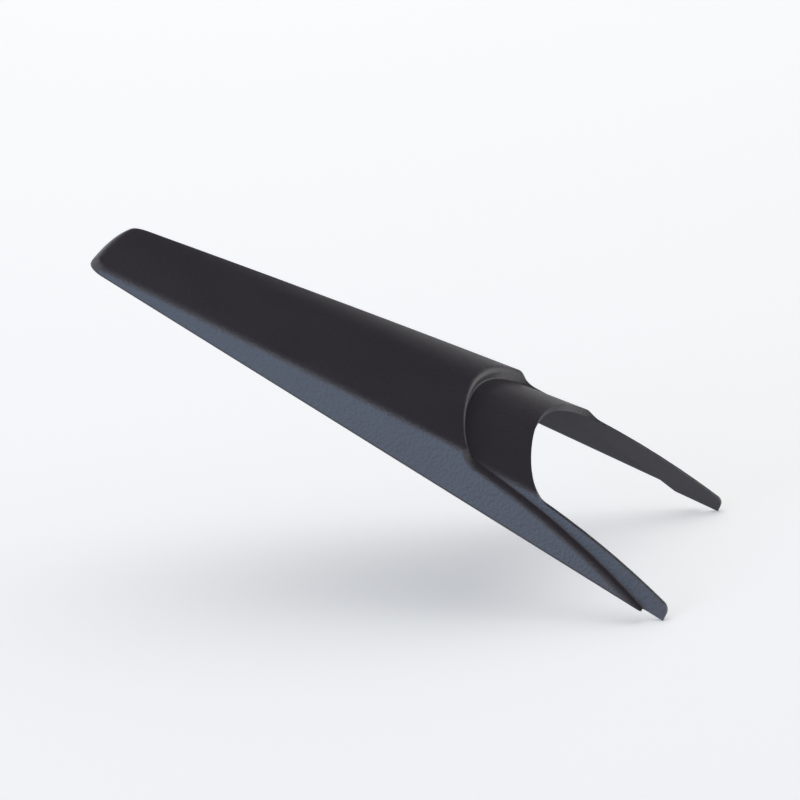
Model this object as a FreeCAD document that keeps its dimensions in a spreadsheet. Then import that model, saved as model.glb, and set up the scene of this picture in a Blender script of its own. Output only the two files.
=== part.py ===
"""Mudguard extender: one moulded shell, open below.

A crowned panel with two flared walls narrows towards its free tail. At the front the shell steps down into a
lap, which slides under the edge that the part lengthens and is bonded there. The step follows the joint line:
an arc across the crown, a round corner below each crease, and a long run forward along each wall.

Model axes: x runs forward along the ridge, y to the left and z out of the panel. Their origin is the point
where the joint line crosses the ridge. The finished part is then tilted to the angle at which it is fitted.
"""
import FreeCAD, Part
import os
import Sketcher

# Driving dimensions, in millimetres and degrees
SIZES = {
    "panel_length": (177.3, "ridge, from the joint line to the tail"),
    "nose_reach": (143.5, "ridge, from the joint line to the front of the forms before trimming"),
    "tail_half_width": (33.35, "ridge to wall at the tail, at the ridge's height"),
    "joint_half_width": (60.5, "ridge to wall at the joint line, at the ridge's height"),
    "crown_radius": (207, "arc of the panel's cross-section"),
    "wall_flare": (10, "lean of the walls away from the panel's normal"),
    "tail_tuck": (12, "lean of the tail's face in under the panel"),
    "skirt_depth": (75, "depth of the walls before trimming"),
    "headroom": (8, "stock above the ridge before the crown is cut"),
    "wall": (3, "thickness of the moulding"),
    "corner_radius": (9, "tail corners, seen from above"),
    "crease_radius": (4, "outer radius of the creases and of the tail edge"),
    "tail_depth": (6.2, "ridge to lower edge at the tail"),
    "edge_slope": (7.25, "lower edge against the ridge"),
    "joint_sweep": (11.5, "how far the joint line leads at the creases"),
    "joint_drop": (14.2, "ridge to the joint line's corner on the walls"),
    "joint_corner": (8, "radius of the joint line's corner on the walls"),
    "run_radius": (375, "bow of the joint line along the walls"),
    "tip_reach": (107, "ridge joint to the front tip of each wall"),
    "shoulder_radius": (2.4, "rounding of the panel into the step"),
    "lap_step": (5.6, "step from the panel down to the lap"),
    "lap_length": (32, "lap, along the ridge"),
    "lap_drop": (18, "ridge to the corner of the lap's front edge"),
    "lap_tip": (30, "front edge of the lap ahead of each wall's tip, before its ends are cut off"),
    "lap_overhang": (10, "ends of the lap ahead of each wall's tip, along the lower edge"),
    "lap_end_radius": (4, "rounding of the lap's ends, seen from the side"),
    "root_radius": (0.8, "rounding of the step into the lap"),
    "rim_radius": (0.9, "rounding of the lower edge, outside and inside"),
    "ridge_slope": (24, "fall of the ridge towards the front, as fitted"),
}

# Reach of the cutting stock past the forms, as formulas over the sheet
STOCK_TOP = "(2 * dims.headroom)"
STOCK_HALF = "(dims.joint_half_width + dims.skirt_depth)"
STOCK_DEPTH = "(2 * dims.skirt_depth)"

# Distance within which two shapes are taken to touch, and cosine above which a face is taken to face an axis
NEAR = 0.01
FACING = 0.5

doc = FreeCAD.newDocument("mudguard_extender")

sheet = doc.addObject("Spreadsheet::Sheet", "dims")
for row, (alias, (size, meaning)) in enumerate(SIZES.items(), 1):
    sheet.set(f"A{row}", alias)
    sheet.set(f"B{row}", str(size))
    sheet.setAlias(f"B{row}", alias)
    sheet.set(f"C{row}", meaning)
doc.recompute()


def value(formula):
    """Number that a formula over the sheet's cells stands for now."""
    return float(sheet.evalExpression(formula))


def plane(body, role):
    """One of a body's own origin planes."""
    return next(item for item in body.Origin.OriginFeatures if item.Role == role)


def new_sketch(body, name, role, offset="0"):
    """Sketch on one of its body's origin planes, moved along the plane's normal."""
    sketch = body.newObject("Sketcher::SketchObject", name)
    sketch.AttachmentSupport = [(plane(body, role), "")]
    sketch.MapMode = "FlatFace"
    sketch.setExpression("AttachmentOffset.Base.z", offset)
    return sketch


def size_constraint(sketch, kind, places, name, formula):
    """Dimension of a sketch that follows a formula over the sheet's cells."""
    index = sketch.addConstraint(Sketcher.Constraint(kind, *places, value(formula)))
    sketch.renameConstraint(index, name)
    sketch.setExpression(f"Constraints.{name}", formula)


def join_ends(sketch, lines):
    """Closes lines into a loop, each one's end on the next one's start."""
    for first, second in zip(lines, lines[1:] + lines[:1]):
        sketch.addConstraint(Sketcher.Constraint("Coincident", first, 2, second, 1))


def middle(edge):
    """Point half-way along an edge."""
    return edge.valueAt((edge.FirstParameter + edge.LastParameter) / 2)


def touches(edge, solid):
    """Whether the middle of an edge lies on a solid's surface."""
    return Part.Vertex(middle(edge)).distToShape(solid.Shape.Shells[0])[0] < NEAR


def behind_nose(edge):
    """Whether an edge lies behind the front face of the untrimmed forms."""
    return middle(edge).x < value("dims.nose_reach") - NEAR


def names_of(kind, items, wanted):
    """Names of the edges or faces that pass a test."""
    return [f"{kind}{index}" for index, item in enumerate(items, 1) if wanted(item)]


def rounded(body, name, base, wanted, radius):
    """Fillet on the edges of a body's feature that pass a test."""
    fillet = body.newObject("PartDesign::Fillet", name)
    fillet.Base = (base, names_of("Edge", base.Shape.Edges, wanted))
    fillet.setExpression("Radius", radius)
    doc.recompute()
    return fillet


def leaning(body, name, base, wanted, angle, inward=False):
    """Draft, about the ridge's height, of the faces of a body's feature that pass a test."""
    draft = body.newObject("PartDesign::Draft", name)
    draft.Base = (base, names_of("Face", base.Shape.Faces, wanted))
    draft.NeutralPlane = (plane(body, "XY_Plane"), [""])
    draft.setExpression("Angle", f"{angle} * 1 deg")
    draft.Reversed = inward
    doc.recompute()
    return draft


def body_around(name, solid):
    """Body that goes on from a finished solid, and its first feature."""
    body = doc.addObject("PartDesign::Body", name)
    body.BaseFeature = solid
    doc.recompute()
    return body, body.Group[0]


def combine(kind, name, base, tool):
    """Boolean of two solids."""
    result = doc.addObject(f"Part::{kind}", name)
    result.Base = base
    result.Tool = tool
    doc.recompute()
    return result


def plan_outline(body, name, inset):
    """Outline of the form at the ridge's height: a trapezium, narrow at the tail."""
    taper = "((dims.joint_half_width - dims.tail_half_width) / dims.panel_length)"
    level_inset = f"(({inset}) / cos(dims.wall_flare))"
    tail_x = f"dims.panel_length - ({inset}) / cos(dims.tail_tuck)"
    side_inset = f"{level_inset} * sqrt(1 + {taper} ^ 2)"
    tail_half = f"dims.joint_half_width - {taper} * ({tail_x}) - {side_inset}"
    nose_half = f"dims.joint_half_width + {taper} * dims.nose_reach - {side_inset}"
    left_tail = FreeCAD.Vector(-value(tail_x), value(tail_half), 0)
    right_tail = FreeCAD.Vector(left_tail.x, -left_tail.y, 0)
    left_nose = FreeCAD.Vector(value("dims.nose_reach"), value(nose_half), 0)
    right_nose = FreeCAD.Vector(left_nose.x, -left_nose.y, 0)
    corners = [left_tail, right_tail, right_nose, left_nose]

    sketch = new_sketch(body, name, "XY_Plane", "dims.headroom")
    lines = [sketch.addGeometry(Part.LineSegment(start, end))
             for start, end in zip(corners, corners[1:] + corners[:1])]
    join_ends(sketch, lines)
    tail, _, nose, _ = lines
    sketch.addConstraint(Sketcher.Constraint("Symmetric", tail, 1, tail, 2, -1))
    sketch.addConstraint(Sketcher.Constraint("Symmetric", nose, 1, nose, 2, -1))
    size_constraint(sketch, "DistanceX", (tail, 1, -1, 1), "tail_x", tail_x)
    size_constraint(sketch, "DistanceY", (-1, 1, tail, 1), "tail_half", tail_half)
    size_constraint(sketch, "DistanceX", (-1, 1, nose, 1), "nose_x", "dims.nose_reach")
    size_constraint(sketch, "DistanceY", (nose, 1, -1, 1), "nose_half", nose_half)
    return sketch


def crown_outline(body, name, inset):
    """Cross-section of the stock above the crown: the crown's arc, closed by a box over it."""
    radius = f"(dims.crown_radius - ({inset}))"
    half = value(STOCK_HALF)
    rise = value(STOCK_TOP)
    fall = value(f"sqrt({radius} ^ 2 - {STOCK_HALF} ^ 2) - dims.crown_radius")
    right = FreeCAD.Vector(half, fall, 0)
    left = FreeCAD.Vector(-half, fall, 0)
    ridge = FreeCAD.Vector(0, -value(inset), 0)
    right_top = FreeCAD.Vector(half, rise, 0)
    left_top = FreeCAD.Vector(-half, rise, 0)

    sketch = new_sketch(body, name, "YZ_Plane")
    arc = sketch.addGeometry(Part.Arc(right, ridge, left))
    side = sketch.addGeometry(Part.LineSegment(left, left_top))
    top = sketch.addGeometry(Part.LineSegment(left_top, right_top))
    far_side = sketch.addGeometry(Part.LineSegment(right_top, right))
    join_ends(sketch, [arc, side, top, far_side])
    sketch.addConstraint(Sketcher.Constraint("PointOnObject", arc, 3, -2))
    sketch.addConstraint(Sketcher.Constraint("Vertical", side))
    sketch.addConstraint(Sketcher.Constraint("Vertical", far_side))
    sketch.addConstraint(Sketcher.Constraint("Symmetric", top, 1, top, 2, -2))
    size_constraint(sketch, "DistanceY", (arc, 3, -1, 1), "centre", "dims.crown_radius")
    size_constraint(sketch, "Radius", (arc,), "radius", radius)
    size_constraint(sketch, "DistanceX", (-1, 1, top, 2), "reach", STOCK_HALF)
    size_constraint(sketch, "DistanceY", (-1, 1, top, 2), "rise", STOCK_TOP)
    return sketch


def add_form(name, inset, corner, crease):
    """Solid form of the shell, set in by a distance on every side: a drafted block under a crowned top."""
    body = doc.addObject("PartDesign::Body", name)
    block = body.newObject("PartDesign::Pad", f"{name}_block")
    block.Profile = plan_outline(body, f"{name}_plan", inset)
    block.setExpression("Length", "dims.headroom + dims.skirt_depth")
    block.Reversed = True
    doc.recompute()

    flared = leaning(body, f"{name}_flare", block, lambda face: abs(face.normalAt(0, 0).y) > FACING,
                     "dims.wall_flare")
    tucked = leaning(body, f"{name}_tuck", flared, lambda face: face.normalAt(0, 0).x < -FACING,
                     "dims.tail_tuck", inward=True)
    half_depth = value("dims.skirt_depth / 2")

    def stands(edge):
        return edge.BoundBox.ZLength > half_depth and behind_nose(edge)

    rounded(body, f"{name}_corners", tucked, stands, corner)
    crown = body.newObject("PartDesign::Pocket", f"{name}_crown")
    crown.Profile = crown_outline(body, f"{name}_section", inset)
    crown.Type = "ThroughAll"
    crown.Midplane = True
    doc.recompute()

    def on_crease(edge):
        return middle(edge).z > -half_depth and edge.BoundBox.ZLength < half_depth and behind_nose(edge)

    rounded(body, f"{name}_crease", crown, on_crease, crease)
    return body


def add_gap(name, lead, drop, tip, offset):
    """Space ahead of a line like the joint line: in front of an arc on the crown, over a run on the walls."""
    sweep_radius = "((dims.joint_half_width ^ 2 + dims.joint_sweep ^ 2) / (2 * dims.joint_sweep))"
    tip_depth = f"dims.tail_depth + tan(dims.edge_slope) * (dims.panel_length + {tip})"
    body = doc.addObject("PartDesign::Body", name)

    plan = new_sketch(body, f"{name}_plan", "XY_Plane", STOCK_TOP)
    radius = f"{sweep_radius} + ({offset})"
    centre_x = f"{sweep_radius} + {lead}"
    middle_x = value(centre_x)
    reach = value(radius)
    rear = FreeCAD.Vector(middle_x - reach, 0, 0)
    left = FreeCAD.Vector(middle_x, reach, 0)
    right = FreeCAD.Vector(middle_x, -reach, 0)
    left_front = FreeCAD.Vector(middle_x + reach, reach, 0)
    right_front = FreeCAD.Vector(middle_x + reach, -reach, 0)
    arc = plan.addGeometry(Part.Arc(left, rear, right))
    right_side = plan.addGeometry(Part.LineSegment(right, right_front))
    front = plan.addGeometry(Part.LineSegment(right_front, left_front))
    left_side = plan.addGeometry(Part.LineSegment(left_front, left))
    join_ends(plan, [arc, right_side, front, left_side])
    plan.addConstraint(Sketcher.Constraint("PointOnObject", arc, 3, -1))
    plan.addConstraint(Sketcher.Constraint("Horizontal", right_side))
    plan.addConstraint(Sketcher.Constraint("Horizontal", left_side))
    plan.addConstraint(Sketcher.Constraint("Vertical", front))
    plan.addConstraint(Sketcher.Constraint("Vertical", arc, 1, arc, 3))
    plan.addConstraint(Sketcher.Constraint("Vertical", arc, 2, arc, 3))
    size_constraint(plan, "DistanceX", (-1, 1, arc, 3), "centre", centre_x)
    size_constraint(plan, "Radius", (arc,), "radius", radius)
    size_constraint(plan, "DistanceX", (right_side, 1, right_side, 2), "reach", radius)
    drum = body.newObject("PartDesign::Pad", f"{name}_drum")
    drum.Profile = plan
    drum.setExpression("Length", f"{STOCK_TOP} + {STOCK_DEPTH}")
    drum.Reversed = True
    doc.recompute()

    side = new_sketch(body, f"{name}_side", "XZ_Plane")
    up = FreeCAD.Vector(0, 0, 1)
    corner_point = FreeCAD.Vector(value(f"{lead} + dims.joint_sweep"), -value(drop), 0)
    tip_point = FreeCAD.Vector(value(tip), -value(tip_depth), 0)
    run = tip_point - corner_point
    below = FreeCAD.Vector(run.y, -run.x, 0).normalize()
    under = corner_point + run / 2 + below * value("dims.run_radius")
    corner = side.addGeometry(Part.Point(corner_point), True)
    end = side.addGeometry(Part.Point(tip_point), True)
    line = side.addGeometry(Part.Circle(under, up, value("dims.run_radius")), True)
    edge = side.addGeometry(Part.Circle(under, up, value(f"dims.run_radius - ({offset})")))
    size_constraint(side, "DistanceX", (-1, 1, corner, 1), "corner_x", f"{lead} + dims.joint_sweep")
    size_constraint(side, "DistanceY", (corner, 1, -1, 1), "corner_depth", drop)
    size_constraint(side, "DistanceX", (-1, 1, end, 1), "tip_x", tip)
    size_constraint(side, "DistanceY", (end, 1, -1, 1), "tip_depth", tip_depth)
    side.addConstraint(Sketcher.Constraint("PointOnObject", corner, 1, line))
    side.addConstraint(Sketcher.Constraint("PointOnObject", end, 1, line))
    size_constraint(side, "Radius", (line,), "run_radius", "dims.run_radius")
    side.addConstraint(Sketcher.Constraint("Coincident", edge, 3, line, 3))
    size_constraint(side, "Radius", (edge,), "edge_radius", f"dims.run_radius - ({offset})")
    run_cut = body.newObject("PartDesign::Pocket", f"{name}_run")
    run_cut.Profile = side
    run_cut.Type = "ThroughAll"
    run_cut.Midplane = True
    doc.recompute()

    def is_corner(edge):
        point = middle(edge)
        return abs(point.y) < value("dims.wall") and point.x < middle_x and point.z < 0

    rounded(body, f"{name}_corner", run_cut, is_corner, f"dims.joint_corner + {offset}")
    return body


def add_stock(name, along, length, below):
    """Cutting stock laid along the lower edge: from a distance along that edge, and from a depth below it."""
    stock = doc.addObject("Part::Box", name)
    stock.setExpression("Length", length)
    stock.setExpression("Width", f"2 * {STOCK_HALF}")
    stock.setExpression("Height", STOCK_DEPTH)
    stock.Placement.Rotation = FreeCAD.Rotation(FreeCAD.Vector(0, 1, 0), 1)
    stock.setExpression("Placement.Rotation.Angle", "dims.edge_slope * 1 deg")
    stock.setExpression("Placement.Base.x", f"-dims.panel_length + ({along}) * cos(dims.edge_slope)"
                        f" - {below} * sin(dims.edge_slope)")
    stock.setExpression("Placement.Base.y", f"-{STOCK_HALF}")
    stock.setExpression("Placement.Base.z", f"-dims.tail_depth - ({along}) * sin(dims.edge_slope)"
                        f" - {below} * cos(dims.edge_slope)")
    doc.recompute()
    return stock


# Forms of the outside and the inside, for the panel and for the lap
skin = add_form("skin", "0", "dims.corner_radius", "dims.crease_radius")
skin_hollow = add_form("skin_hollow", "dims.wall", "dims.corner_radius - dims.wall",
                       "dims.crease_radius - dims.wall")
lap = add_form("lap", "dims.lap_step", "dims.corner_radius", "dims.crease_radius")
lap_hollow = add_form("lap_hollow", "dims.lap_step + dims.wall", "dims.corner_radius - dims.wall",
                      "dims.crease_radius - dims.wall")

# Spaces ahead of the joint line and of the lap's front edge, and stock below the rim and ahead of the lap
joint_gap = add_gap("joint_gap", "0", "dims.joint_drop", "dims.tip_reach", "0")
joint_gap_inner = add_gap("joint_gap_inner", "0", "dims.joint_drop", "dims.tip_reach", "dims.wall")
lap_front = add_gap("lap_front", "dims.lap_length", "dims.lap_drop", "(dims.tip_reach + dims.lap_tip)", "0")
edge_stock = add_stock("edge_stock", "-dims.nose_reach", "2 * (dims.panel_length + dims.nose_reach)",
                       STOCK_DEPTH)
tip_stock = add_stock("tip_stock", "(dims.panel_length + dims.tip_reach) / cos(dims.edge_slope)"
                      " + dims.lap_overhang", "dims.nose_reach", "dims.skirt_depth")


def on_step(edge):
    """Edge where the panel turns down into the step."""
    return (behind_nose(edge) and middle(edge).z > NEAR - value("dims.skirt_depth")
            and touches(edge, joint_gap) and touches(edge, skin))


def on_outer_rim(edge):
    """Lower edge of the outside."""
    return behind_nose(edge) and touches(edge, edge_stock)


def on_inner_rim(edge):
    """Lower edge of the inside."""
    return touches(edge, edge_stock) and touches(edge, hollow) and not touches(edge, tip_stock)


def on_root(edge):
    """Edge where the step meets the lap."""
    return touches(edge, joint_gap) and touches(edge, lap)


def on_lap_end(edge):
    """Upper corner of the lap's ends."""
    return touches(edge, lap_front) and touches(edge, tip_stock)


# Shell: the outside less the inside, cut off along the lap's front, the lower edge and the lap's ends
panel = combine("Cut", "panel", skin, joint_gap)
shouldered, panel_base = body_around("shouldered", panel)
rounded(shouldered, "shoulder", panel_base, on_step, "dims.shoulder_radius")
outside = combine("Fuse", "outside", shouldered, lap)
hollow_rear = combine("Cut", "hollow_rear", skin_hollow, joint_gap_inner)
hollow = combine("Fuse", "hollow", hollow_rear, lap_hollow)
shell = combine("Cut", "shell", outside, hollow)
lapped = combine("Cut", "lapped", shell, lap_front)
trimmed = combine("Cut", "trimmed", lapped, edge_stock)
ended = combine("Cut", "ended", trimmed, tip_stock)

# Outer lower edge, rounded on the plain outside form, which the walls' thin tips can't upset
skin_trimmed = combine("Cut", "skin_trimmed", skin, edge_stock)
envelope, envelope_base = body_around("envelope", skin_trimmed)
rounded(envelope, "outer_rim", envelope_base, on_outer_rim, "dims.rim_radius")
rimmed = combine("Common", "rimmed", envelope, ended)

# Finished part: its other edges rounded, tilted, with the middle of the lap's outer face at the origin
extender, extender_base = body_around("mudguard_extender", rimmed)
extender.Label = "mudguard_extender"
lap_ends = rounded(extender, "lap_ends", extender_base, on_lap_end, "dims.lap_end_radius")
step_root = rounded(extender, "step_root", lap_ends, on_root, "dims.root_radius")
rounded(extender, "inner_rim", step_root, on_inner_rim, "dims.rim_radius")
extender.Placement.Rotation = FreeCAD.Rotation(FreeCAD.Vector(0, 1, 0), 1)
extender.setExpression("Placement.Rotation.Angle", "dims.ridge_slope * 1 deg")
extender.setExpression("Placement.Base.x", "dims.lap_step * sin(dims.ridge_slope)"
                       " - dims.lap_length / 2 * cos(dims.ridge_slope)")
extender.setExpression("Placement.Base.z", "dims.lap_step * cos(dims.ridge_slope)"
                       " + dims.lap_length / 2 * sin(dims.ridge_slope)")
doc.recompute()

for item in doc.Objects:
    if "Invalid" in item.State or "Error" in item.State:
        raise RuntimeError(f"{item.Label} did not build: {item.State}")

os.makedirs("parts", exist_ok=True)
for part in (extender,):
    if part.Shape.isNull() or not part.Shape.isValid() or len(part.Shape.Solids) != 1:
        raise RuntimeError(f"{part.Label} is not one valid solid")
    part.Shape.exportStep(f"parts/{part.Label}.step")
    print(part.Label, round(part.Shape.Volume), part.Shape.BoundBox)
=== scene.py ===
"""Dresses the mudguard extender and sets it in a pale studio.

The shell is one moulding, so its CAD node stays as the only piece. Here it gets the satin, fine-grained
finish of moulded plastic, soft light and a camera at the photograph's viewing angle.
"""
import math

import bpy
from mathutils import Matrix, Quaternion, Vector


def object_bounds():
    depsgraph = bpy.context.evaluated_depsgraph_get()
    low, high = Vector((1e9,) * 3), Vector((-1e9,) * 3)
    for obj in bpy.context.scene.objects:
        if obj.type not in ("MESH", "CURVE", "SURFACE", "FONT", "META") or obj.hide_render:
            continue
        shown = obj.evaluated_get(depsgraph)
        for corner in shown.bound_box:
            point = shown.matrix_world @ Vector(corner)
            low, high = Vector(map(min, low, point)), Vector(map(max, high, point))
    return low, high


bl_info = {
    "name": "Mudguard extender",
    "version": (1, 0, 0),
    "blender": (4, 5, 0),
    "location": "View3D > Sidebar > Extender",
    "description": "Finish, studio and camera for a moulded mudguard extender",
    "category": "Object",
}

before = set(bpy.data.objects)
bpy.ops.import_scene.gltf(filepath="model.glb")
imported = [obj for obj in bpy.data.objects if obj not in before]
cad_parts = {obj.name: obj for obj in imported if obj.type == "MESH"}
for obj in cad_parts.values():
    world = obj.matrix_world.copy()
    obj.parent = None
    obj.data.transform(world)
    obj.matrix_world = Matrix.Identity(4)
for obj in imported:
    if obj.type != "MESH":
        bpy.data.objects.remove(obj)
CAD_LOW, CAD_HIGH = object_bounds()
CENTRE = (CAD_LOW + CAD_HIGH) / 2
SHELL = "mudguard_extender"
WHITE = (1, 1, 1, 1)
PRINCIPLED = "Principled BSDF"

# Fixed values of the moulded plastic
PLASTIC_IOR = 1.5
PLASTIC_SPECULAR = 0.7
GRAIN_SMOOTHNESS = 0.7
BLOOM_DETAIL = 3
BLOOM_ROUGHNESS = 0.55

# Fixed values of the studio's paper and board
MATT_ROUGHNESS = 0.9
MATT_SPECULAR = 0.1


class ShellFinish(bpy.types.PropertyGroup):
    """Finish of the moulded shell."""

    colour: bpy.props.FloatVectorProperty(
        name="Colour", description="Black of the moulded plastic",
        subtype="COLOR", size=3, default=(0.027, 0.022, 0.029), min=0, max=1)
    bloom_colour: bpy.props.FloatVectorProperty(
        name="Bloom colour", description="Greyer black where the plastic has flowed further",
        subtype="COLOR", size=3, default=(0.037, 0.032, 0.039), min=0, max=1)
    bloom_size: bpy.props.FloatProperty(
        name="Bloom size", description="Width of the soft changes of tone",
        unit="LENGTH", default=0.045)
    grain_size: bpy.props.FloatProperty(
        name="Grain size", description="Width of one cell of the moulded texture",
        unit="LENGTH", default=0.0013)
    grain_depth: bpy.props.FloatProperty(
        name="Grain depth", description="Height of the moulded texture",
        unit="LENGTH", default=0.00014)
    roughness_low: bpy.props.FloatProperty(
        name="Satin roughness", description="Roughness where the tone is deepest",
        subtype="FACTOR", default=0.40, min=0, max=1)
    roughness_high: bpy.props.FloatProperty(
        name="Bloom roughness", description="Roughness where the tone is greyest",
        subtype="FACTOR", default=0.52, min=0, max=1)


class StudioSettings(bpy.types.PropertyGroup):
    """Floor, light, dark card and camera."""

    floor_colour: bpy.props.FloatVectorProperty(
        name="Floor colour", description="Pale floor",
        subtype="COLOR", size=3, default=(0.78, 0.78, 0.78), min=0, max=1)
    floor_width: bpy.props.FloatProperty(
        name="Floor width", description="Side of the square floor",
        unit="LENGTH", default=30)
    floor_lift: bpy.props.FloatProperty(
        name="Floor lift", description="White added to the floor for the viewer and for reflections",
        default=0.30, min=0)
    sky_level: bpy.props.FloatProperty(
        name="Sky level", description="Light that the studio's white walls give the object",
        default=0.42, min=0)
    key_power: bpy.props.FloatProperty(
        name="Key power", description="Large soft light that the near wall mirrors",
        unit="POWER", default=64)
    key_colour: bpy.props.FloatVectorProperty(
        name="Key colour", description="Cool daylight",
        subtype="COLOR", size=3, default=(0.36, 0.62, 1.0), min=0, max=1)
    key_place: bpy.props.FloatVectorProperty(
        name="Key place", description="Middle of the key light",
        subtype="TRANSLATION", size=3, default=(-1.95, -3.6, 1.05))
    key_width: bpy.props.FloatProperty(
        name="Key width", description="Length of the key light",
        unit="LENGTH", default=2.55)
    key_height: bpy.props.FloatProperty(
        name="Key height", description="Height of the key light",
        unit="LENGTH", default=1.95)
    top_power: bpy.props.FloatProperty(
        name="Top power", description="Soft light from above",
        unit="POWER", default=26)
    top_place: bpy.props.FloatVectorProperty(
        name="Top place", description="Middle of the top light",
        subtype="TRANSLATION", size=3, default=(-0.2, 0.5, 2.4))
    top_width: bpy.props.FloatProperty(
        name="Top width", description="Side of the square top light",
        unit="LENGTH", default=3.2)
    fill_power: bpy.props.FloatProperty(
        name="Fill power", description="Soft light on the far side",
        unit="POWER", default=8)
    fill_place: bpy.props.FloatVectorProperty(
        name="Fill place", description="Middle of the fill light",
        subtype="TRANSLATION", size=3, default=(-0.6, 2.4, 1.2))
    fill_width: bpy.props.FloatProperty(
        name="Fill width", description="Side of the square fill light",
        unit="LENGTH", default=1.8)
    card_colour: bpy.props.FloatVectorProperty(
        name="Card colour", description="Dark card that the panel's top mirrors",
        subtype="COLOR", size=3, default=(0.02, 0.02, 0.02), min=0, max=1)
    card_distance: bpy.props.FloatProperty(
        name="Card distance", description="Card's wall beyond the part's middle, on the far side",
        unit="LENGTH", default=0.55)
    card_shift: bpy.props.FloatProperty(
        name="Card shift", description="Card moved towards the part's front, so that the tail mirrors less",
        unit="LENGTH", default=0.6)
    card_width: bpy.props.FloatProperty(
        name="Card width", description="Length of the card",
        unit="LENGTH", default=1.8)
    card_height: bpy.props.FloatProperty(
        name="Card height", description="Top of the card above the part's middle",
        unit="LENGTH", default=1.3)
    card_reach: bpy.props.FloatProperty(
        name="Card reach", description="Edge of the card's roof from the part's middle, on the near side",
        unit="LENGTH", default=0.9)
    card_gap: bpy.props.FloatProperty(
        name="Card gap", description="Bottom of the card above the part's middle",
        unit="LENGTH", default=0.055)
    camera_azimuth: bpy.props.FloatProperty(
        name="Azimuth", description="Camera's turn from the right-hand side towards the front",
        subtype="ANGLE", default=math.radians(14.1))
    camera_elevation: bpy.props.FloatProperty(
        name="Elevation", description="Camera's height as an angle",
        subtype="ANGLE", default=math.radians(14.7))
    camera_roll: bpy.props.FloatProperty(
        name="Roll", description="Turn of the camera about its own line of sight",
        subtype="ANGLE", default=math.radians(-5.5))
    camera_distance: bpy.props.FloatProperty(
        name="Distance", description="Camera to the middle of the part",
        unit="LENGTH", default=1.836)
    lens: bpy.props.FloatProperty(
        name="Lens", description="Focal length, in millimetres",
        unit="CAMERA", default=186)


def new_group(name, inputs, outputs):
    """Empty shader node group with named sockets, and its input and output nodes."""
    group = bpy.data.node_groups.new(name, "ShaderNodeTree")
    for socket, kind in inputs:
        group.interface.new_socket(socket, in_out="INPUT", socket_type=kind)
    for socket, kind in outputs:
        group.interface.new_socket(socket, in_out="OUTPUT", socket_type=kind)
    return group, group.nodes.new("NodeGroupInput"), group.nodes.new("NodeGroupOutput")


def moulded_grain():
    """Node group for a moulded surface: fine grain as a height, and slow changes of tone as a mask."""
    group, given, result = new_group(
        "moulded_grain",
        [("Position", "NodeSocketVector"), ("Grain per metre", "NodeSocketFloat"),
         ("Bloom per metre", "NodeSocketFloat")],
        [("Grain", "NodeSocketFloat"), ("Bloom", "NodeSocketFloat")])
    link = group.links.new

    cells = group.nodes.new("ShaderNodeTexVoronoi")
    cells.feature = "SMOOTH_F1"
    cells.inputs["Smoothness"].default_value = GRAIN_SMOOTHNESS
    link(given.outputs["Position"], cells.inputs["Vector"])
    link(given.outputs["Grain per metre"], cells.inputs["Scale"])
    link(cells.outputs["Distance"], result.inputs["Grain"])

    cloud = group.nodes.new("ShaderNodeTexNoise")
    cloud.inputs["Detail"].default_value = BLOOM_DETAIL
    cloud.inputs["Roughness"].default_value = BLOOM_ROUGHNESS
    link(given.outputs["Position"], cloud.inputs["Vector"])
    link(given.outputs["Bloom per metre"], cloud.inputs["Scale"])
    link(cloud.outputs["Fac"], result.inputs["Bloom"])
    return group


def shell_material(finish):
    """Satin black plastic with a fine moulded grain."""
    material = bpy.data.materials.new("satin_black_moulding")
    material.use_nodes = True
    nodes = material.node_tree.nodes
    link = material.node_tree.links.new
    plastic = nodes[PRINCIPLED]
    plastic.inputs["IOR"].default_value = PLASTIC_IOR
    plastic.inputs["Specular IOR Level"].default_value = PLASTIC_SPECULAR

    place = nodes.new("ShaderNodeTexCoord")
    grain = nodes.new("ShaderNodeGroup")
    grain.node_tree = moulded_grain()
    grain.inputs["Grain per metre"].default_value = 1 / finish.grain_size
    grain.inputs["Bloom per metre"].default_value = 1 / finish.bloom_size
    link(place.outputs["Object"], grain.inputs["Position"])

    tone = nodes.new("ShaderNodeMix")
    tone.data_type = "RGBA"
    tone.inputs["A"].default_value = (*finish.colour, 1)
    tone.inputs["B"].default_value = (*finish.bloom_colour, 1)
    link(grain.outputs["Bloom"], tone.inputs["Factor"])
    link(tone.outputs["Result"], plastic.inputs["Base Color"])

    satin = nodes.new("ShaderNodeMapRange")
    satin.inputs["To Min"].default_value = finish.roughness_low
    satin.inputs["To Max"].default_value = finish.roughness_high
    link(grain.outputs["Bloom"], satin.inputs["Value"])
    link(satin.outputs["Result"], plastic.inputs["Roughness"])

    relief = nodes.new("ShaderNodeBump")
    relief.inputs["Distance"].default_value = finish.grain_depth
    link(grain.outputs["Grain"], relief.inputs["Height"])
    link(relief.outputs["Normal"], plastic.inputs["Normal"])
    return material


def for_viewer(tree, shade, shown):
    """Mix of a lit shade and of what camera, glossy and transmission rays see in its place."""
    path = tree.nodes.new("ShaderNodeLightPath")
    seen = path.outputs["Is Camera Ray"]
    for ray in ("Is Glossy Ray", "Is Transmission Ray"):
        either = tree.nodes.new("ShaderNodeMath")
        either.operation = "MAXIMUM"
        tree.links.new(seen, either.inputs[0])
        tree.links.new(path.outputs[ray], either.inputs[1])
        seen = either.outputs["Value"]
    mix = tree.nodes.new("ShaderNodeMixShader")
    tree.links.new(seen, mix.inputs["Fac"])
    tree.links.new(shade, mix.inputs[1])
    tree.links.new(shown, mix.inputs[2])
    return mix.outputs["Shader"]


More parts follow.
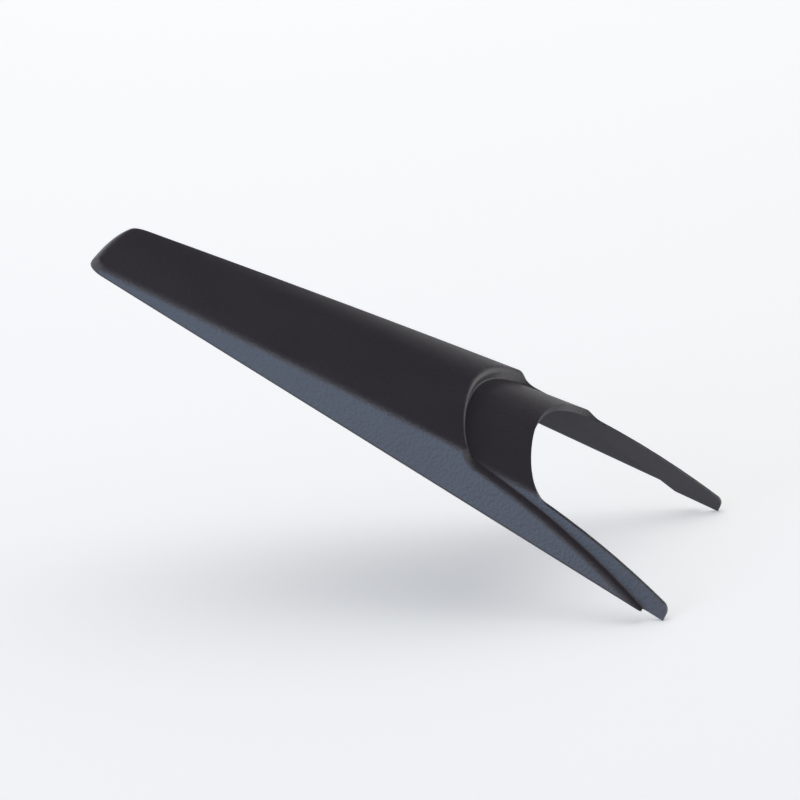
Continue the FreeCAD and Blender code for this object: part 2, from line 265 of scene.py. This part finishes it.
def studio_world(studio):
    """White all round to the viewer and in reflections, and a plain level of light on the object."""
    world = bpy.data.worlds.new("studio_world")
    bpy.context.scene.world = world
    world.use_nodes = True
    tree = world.node_tree
    sky = tree.nodes["Background"]
    sky.inputs["Color"].default_value = WHITE
    sky.inputs["Strength"].default_value = studio.sky_level
    white = tree.nodes.new("ShaderNodeBackground")
    white.inputs["Color"].default_value = WHITE
    shown = for_viewer(tree, sky.outputs["Background"], white.outputs["Background"])
    tree.links.new(shown, tree.nodes["World Output"].inputs["Surface"])


def matt_material(name, colour):
    """Dull material of one colour."""
    material = bpy.data.materials.new(name)
    material.use_nodes = True
    shader = material.node_tree.nodes[PRINCIPLED]
    shader.inputs["Base Color"].default_value = (*colour, 1)
    shader.inputs["Roughness"].default_value = MATT_ROUGHNESS
    shader.inputs["Specular IOR Level"].default_value = MATT_SPECULAR
    return material


def floor_paper(studio):
    """Pale matt paper with white added for the viewer, so that it looks white and keeps the shadow."""
    material = matt_material("floor_paper", studio.floor_colour)
    tree = material.node_tree
    paper = tree.nodes[PRINCIPLED]
    glow = tree.nodes.new("ShaderNodeEmission")
    glow.inputs["Strength"].default_value = studio.floor_lift
    lifted = tree.nodes.new("ShaderNodeAddShader")
    tree.links.new(paper.outputs["BSDF"], lifted.inputs[0])
    tree.links.new(glow.outputs["Emission"], lifted.inputs[1])
    shown = for_viewer(tree, paper.outputs["BSDF"], lifted.outputs["Shader"])
    tree.links.new(shown, tree.nodes["Material Output"].inputs["Surface"])
    return material


def stage_sheet(name, corners, material):
    """Flat four-sided sheet that belongs to the studio."""
    mesh = bpy.data.meshes.new(name)
    mesh.from_pydata(corners, [], [(0, 1, 2, 3)])
    mesh.materials.append(material)
    sheet = bpy.data.objects.new(name, mesh)
    bpy.context.scene.collection.objects.link(sheet)
    return sheet


def studio_floor(studio):
    """Pale floor at the level of the part's lowest point."""
    half = studio.floor_width / 2
    level = CAD_LOW.z
    corners = [(-half, -half, level), (half, -half, level), (half, half, level), (-half, half, level)]
    stage_sheet("floor", corners, floor_paper(studio))


def shade_card(studio):
    """Dark wall and roof that only reflections see, so that the panel's top stays deep black."""
    left = CENTRE.x + studio.card_shift - studio.card_width / 2
    right = left + studio.card_width
    back = CENTRE.y + studio.card_distance
    low = CENTRE.z + studio.card_gap
    high = CENTRE.z + studio.card_height
    front = CENTRE.y - studio.card_reach
    wall = [(left, back, low), (right, back, low), (right, back, high), (left, back, high)]
    roof = [(left, back, high), (right, back, high), (right, front, high), (left, front, high)]
    board = matt_material("card_board", studio.card_colour)
    for name, corners in (("card_wall", wall), ("card_roof", roof)):
        card = stage_sheet(name, corners, board)
        card.visible_camera = False
        card.visible_diffuse = False
        card.visible_shadow = False


def soft_light(name, place, width, height, power):
    """White rectangular area light that faces the middle of the part."""
    data = bpy.data.lights.new(name, "AREA")
    data.shape = "RECTANGLE"
    data.size = width
    data.size_y = height
    data.energy = power
    light = bpy.data.objects.new(name, data)
    light.location = place
    light.rotation_mode = "QUATERNION"
    light.rotation_quaternion = (CENTRE - Vector(place)).to_track_quat("-Z", "Y")
    bpy.context.scene.collection.objects.link(light)
    return light


def studio_lights(studio):
    """Cool key light, and a top and a fill light that give no highlights."""
    key = soft_light("key", studio.key_place, studio.key_width, studio.key_height, studio.key_power)
    key.data.color = studio.key_colour
    top = soft_light("top", studio.top_place, studio.top_width, studio.top_width, studio.top_power)
    fill = soft_light("fill", studio.fill_place, studio.fill_width, studio.fill_width, studio.fill_power)
    for light in (top, fill):
        light.visible_glossy = False


def photo_camera(studio):
    """Camera at the photograph's viewing angle."""
    turn = studio.camera_azimuth
    rise = studio.camera_elevation
    level = math.cos(rise)
    back = Vector((math.sin(turn) * level, -math.cos(turn) * level, math.sin(rise)))
    data = bpy.data.cameras.new("camera")
    data.lens = studio.lens
    camera = bpy.data.objects.new("camera", data)
    camera.location = CENTRE + back * studio.camera_distance
    camera.rotation_mode = "QUATERNION"
    roll = Quaternion((0, 0, 1), studio.camera_roll)
    camera.rotation_quaternion = (-back).to_track_quat("-Z", "Y") @ roll
    bpy.context.scene.collection.objects.link(camera)
    bpy.context.scene.camera = camera


class EXTENDER_OT_shell(bpy.types.Operator):
    """Gives the moulded shell its finish"""

    bl_idname = "extender.shell"
    bl_label = "Finish the shell"

    def execute(self, context):
        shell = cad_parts[SHELL]
        shell.data.materials.clear()
        shell.data.materials.append(shell_material(context.scene.shell_finish))
        return {"FINISHED"}


class EXTENDER_OT_studio(bpy.types.Operator):
    """Sets the floor, the dark card, the light and the camera"""

    bl_idname = "extender.studio"
    bl_label = "Set the studio"

    def execute(self, context):
        studio = context.scene.studio_settings
        context.scene.view_settings.view_transform = "Standard"
        studio_world(studio)
        studio_floor(studio)
        shade_card(studio)
        studio_lights(studio)
        photo_camera(studio)
        return {"FINISHED"}


class EXTENDER_PT_panel(bpy.types.Panel):
    """Sidebar list of the steps and their settings"""

    bl_label = "Mudguard extender"
    bl_idname = "EXTENDER_PT_panel"
    bl_space_type = "VIEW_3D"
    bl_region_type = "UI"
    bl_category = "Extender"

    def draw(self, context):
        for operator, settings in ((EXTENDER_OT_shell, context.scene.shell_finish),
                                   (EXTENDER_OT_studio, context.scene.studio_settings)):
            box = self.layout.box()
            for name in settings.__annotations__:
                box.prop(settings, name)
            box.operator(operator.bl_idname)


CLASSES = (ShellFinish, StudioSettings, EXTENDER_OT_shell, EXTENDER_OT_studio, EXTENDER_PT_panel)


def register():
    for item in CLASSES:
        bpy.utils.register_class(item)
    bpy.types.Scene.shell_finish = bpy.props.PointerProperty(type=ShellFinish)
    bpy.types.Scene.studio_settings = bpy.props.PointerProperty(type=StudioSettings)


def unregister():
    del bpy.types.Scene.studio_settings
    del bpy.types.Scene.shell_finish
    for item in reversed(CLASSES):
        bpy.utils.unregister_class(item)


def main():
    """Runs every step in order."""
    register()
    bpy.ops.extender.shell()
    bpy.ops.extender.studio()


if __name__ == "__main__":
    main()
